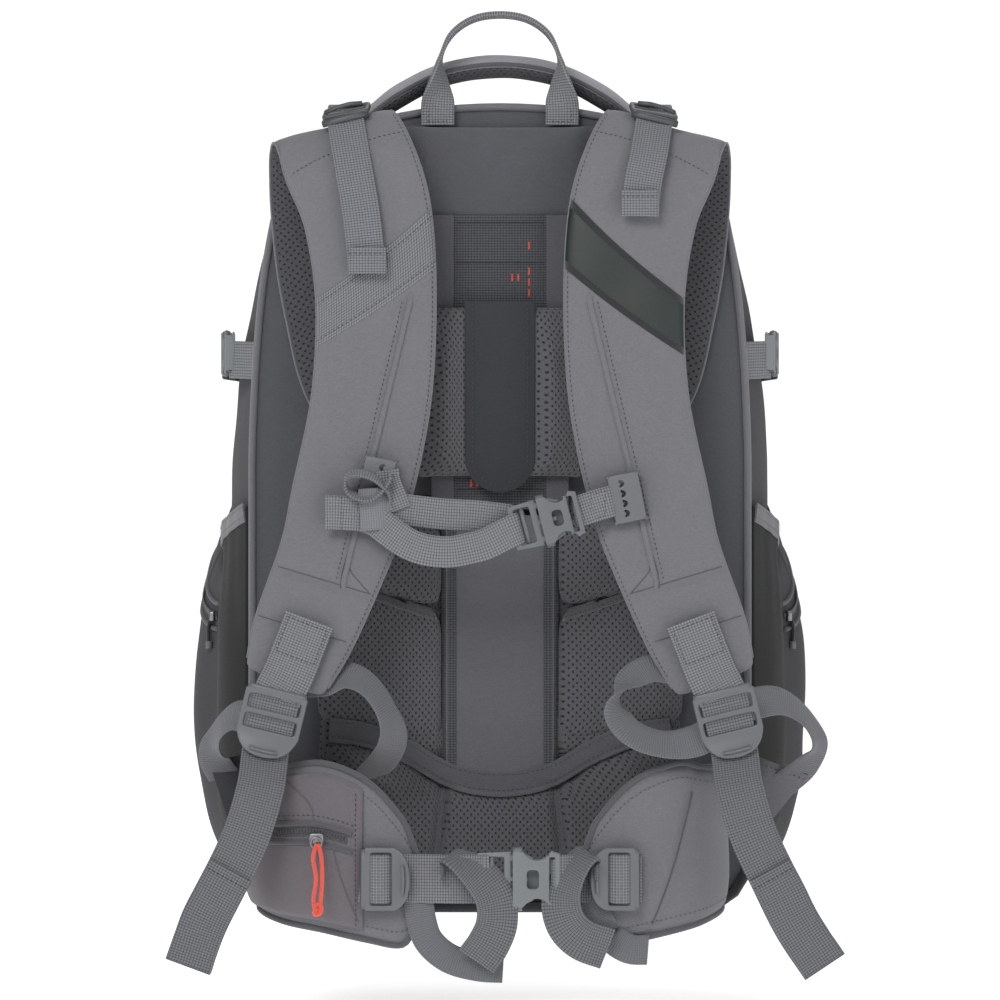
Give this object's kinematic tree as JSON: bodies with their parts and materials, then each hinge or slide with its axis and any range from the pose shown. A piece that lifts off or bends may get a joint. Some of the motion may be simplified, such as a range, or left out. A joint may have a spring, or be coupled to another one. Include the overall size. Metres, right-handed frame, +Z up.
{
  "type": "ski backpack",
  "caption": "Panel pack with adjustable back length, padded shoulder harness, chest strap, hip belt with zip pocket, side compression and a stretch pocket on each side",
  "frame": {"origin": "centre of the flat underside of the base", "axes": "+Z up the pack, -Y towards the wearer's back, +X to the right seen from the wearer's side"},
  "size_m": [0.426, 0.326, 0.6313],
  "materials": {
    "shell": "matt woven polyester, slight texture",
    "panel": "plain woven lining, matt",
    "mesh": "knitted air mesh with small holes",
    "webbing": "ribbed woven webbing, matt",
    "stretch": "dark stretch fabric, matt",
    "boot": "coated, matt, scuff resistant",
    "plastic": "moulded acetal, satin",
    "zip": "satin metal",
    "alloy": "plain aluminium strip",
    "sheet": "black plastic sheet",
    "orange": "bright orange braided cord"
  },
  "bodies": {
    "bag": {"back_panel": "panel", "front_panel": "shell", "side_gusset_right": "shell", "side_gusset_left": "shell", "top_gusset": "shell", "frame_sheet": "sheet", "frame_stay": "alloy", "base_boot": "boot", "front_pocket": "shell", "side_pocket_left": "stretch", "side_pocket_right": "stretch", "top_pad": "panel", "middle_pad_left": "mesh", "middle_pad_right": "mesh", "lower_pad_left": "mesh", "lower_pad_right": "mesh", "lumbar_pad": "mesh", "spine_cover": "panel", "lumbar_band": "panel", "size_ladder": "webbing", "top_handle": "shell", "side_buckle_socket_left": "plastic", "side_buckle_socket_right": "plastic", "side_strap_left": "webbing", "side_strap_right": "webbing"},
    "harness": {"shoulder_strap_left": "shell", "shoulder_strap_right": "shell", "yoke": "sheet", "upper_pad": "mesh", "chest_rail_left": "shell", "chest_rail_right": "shell", "strap_tail_left": "webbing", "strap_tail_right": "webbing", "lift_buckle_left": "plastic", "lift_buckle_right": "plastic"},
    "tongue": {"size_tongue": "panel"},
    "shoulder_lock_left": {"shoulder_lock_left": "plastic"},
    "shoulder_lock_right": {"shoulder_lock_right": "plastic"},
    "chest_strap": {"chest_buckle_socket": "plastic", "chest_webbing": "webbing"},
    "chest_plug": {"chest_buckle_plug": "plastic"},
    "chest_clip_left": {"chest_clip_left": "plastic"},
    "chest_clip_right": {"chest_clip_right": "plastic"},
    "hip_left": {"hip_fin_left": "shell", "hip_pocket": "shell", "hip_buckle_plug": "plastic", "hip_tail_left": "webbing"},
    "hip_right": {"hip_fin_right": "shell", "hip_buckle_socket": "plastic", "hip_tail_right": "webbing"},
    "hip_lock_left": {"hip_lock_left": "plastic"},
    "hip_lock_right": {"hip_lock_right": "plastic"},
    "hip_zip": {"hip_zip_slider": "zip"},
    "hip_pull": {"hip_zip_pull": "orange"},
    "side_plug_left": {"side_buckle_plug_left": "plastic"},
    "side_plug_right": {"side_buckle_plug_right": "plastic"},
    "main_zip_left": {"main_zip_slider_left": "zip"},
    "main_zip_right": {"main_zip_slider_right": "zip"},
    "front_zip": {"front_zip_slider": "zip"},
    "grab_loop": {"grab_loop": "webbing"}
  },
  "joints": [
    {"name": "back_length", "type": "slide", "parent": "bag", "child": "harness", "axis": [0, 0, 1], "range_m": [-0.025, 0.025]},
    {"name": "tongue_peel", "type": "hinge", "parent": "harness", "child": "tongue", "pos_m": [0, -0.1006, 0.402], "axis": [-1, 0, 0], "range_deg": [0, 90]},
    {"name": "shoulder_lock_left_tilt", "type": "hinge", "parent": "harness", "child": "shoulder_lock_left", "pos_m": [-0.1415, -0.173, 0.148], "axis": [-0.9713, 0, 0.2377], "range_deg": [0, 30]},
    {"name": "shoulder_lock_right_tilt", "type": "hinge", "parent": "harness", "child": "shoulder_lock_right", "pos_m": [0.1415, -0.173, 0.148], "axis": [-0.9713, 0, -0.2377], "range_deg": [0, 30]},
    {"name": "chest_height", "type": "slide", "parent": "harness", "child": "chest_strap", "axis": [0, 0.11, 0.9939], "range_m": [-0.02, 0.02]},
    {"name": "chest_clip_left_slide", "type": "slide", "parent": "chest_strap", "child": "chest_clip_left", "axis": [1, 0, 0], "range_m": [-0.0045, 0.0045]},
    {"name": "chest_clip_right_slide", "type": "slide", "parent": "chest_strap", "child": "chest_clip_right", "axis": [-1, 0, 0], "range_m": [-0.0045, 0.0045]},
    {"name": "chest_release", "type": "slide", "parent": "chest_strap", "child": "chest_plug", "axis": [-0.9689, 0, -0.2474], "range_m": [0, 0.022]},
    {"name": "hip_right_swing", "type": "hinge", "parent": "bag", "child": "hip_right", "pos_m": [0.127, -0.095, 0.05], "axis": [0, 0, 1], "range_deg": [0, 15]},
    {"name": "hip_left_swing", "type": "hinge", "parent": "bag", "child": "hip_left", "pos_m": [-0.127, -0.095, 0.05], "axis": [0, 0, 1], "range_deg": [-15, 0]},
    {"name": "hip_lock_left_tilt", "type": "hinge", "parent": "hip_left", "child": "hip_lock_left", "pos_m": [-0.084, -0.176, 0.032], "axis": [0, 0, -1], "range_deg": [0, 30]},
    {"name": "hip_lock_right_tilt", "type": "hinge", "parent": "hip_right", "child": "hip_lock_right", "pos_m": [0.084, -0.176, 0.032], "axis": [0, 0, 1], "range_deg": [0, 30]},
    {"name": "hip_zip_slide", "type": "slide", "parent": "hip_left", "child": "hip_zip", "axis": [1, 0, 0], "range_m": [-0.03, 0]},
    {"name": "hip_pull_swing", "type": "hinge", "parent": "hip_zip", "child": "hip_pull", "pos_m": [-0.116, -0.186, 0.055], "axis": [-1, 0, 0], "range_deg": [0, 60]},
    {"name": "side_release_left", "type": "slide", "parent": "bag", "child": "side_plug_left", "axis": [-0.1913, 0.9815, 0], "range_m": [0, 0.014]},
    {"name": "side_release_right", "type": "slide", "parent": "bag", "child": "side_plug_right", "axis": [0.1913, 0.9815, 0], "range_m": [0, 0.014]},
    {"name": "main_zip_left_slide", "type": "slide", "parent": "bag", "child": "main_zip_left", "axis": [0, 0, 1], "range_m": [-0.05, 0]},
    {"name": "main_zip_right_slide", "type": "slide", "parent": "bag", "child": "main_zip_right", "axis": [0, 0, 1], "range_m": [-0.05, 0]},
    {"name": "front_zip_slide", "type": "slide", "parent": "bag", "child": "front_zip", "axis": [1, 0, 0], "range_m": [0, 0.18]},
    {"name": "grab_loop_flop", "type": "hinge", "parent": "bag", "child": "grab_loop", "pos_m": [0, -0.083, 0.533], "axis": [1, 0, 0], "range_deg": [0, 70]}
  ],
  "couplings": [
    {"joint": "chest_clip_left_slide", "follows": "chest_height", "ratio": 0.2009},
    {"joint": "chest_clip_right_slide", "follows": "chest_height", "ratio": 0.2009},
    {"joint": "hip_left_swing", "follows": "hip_right_swing", "ratio": -1}
  ]
}
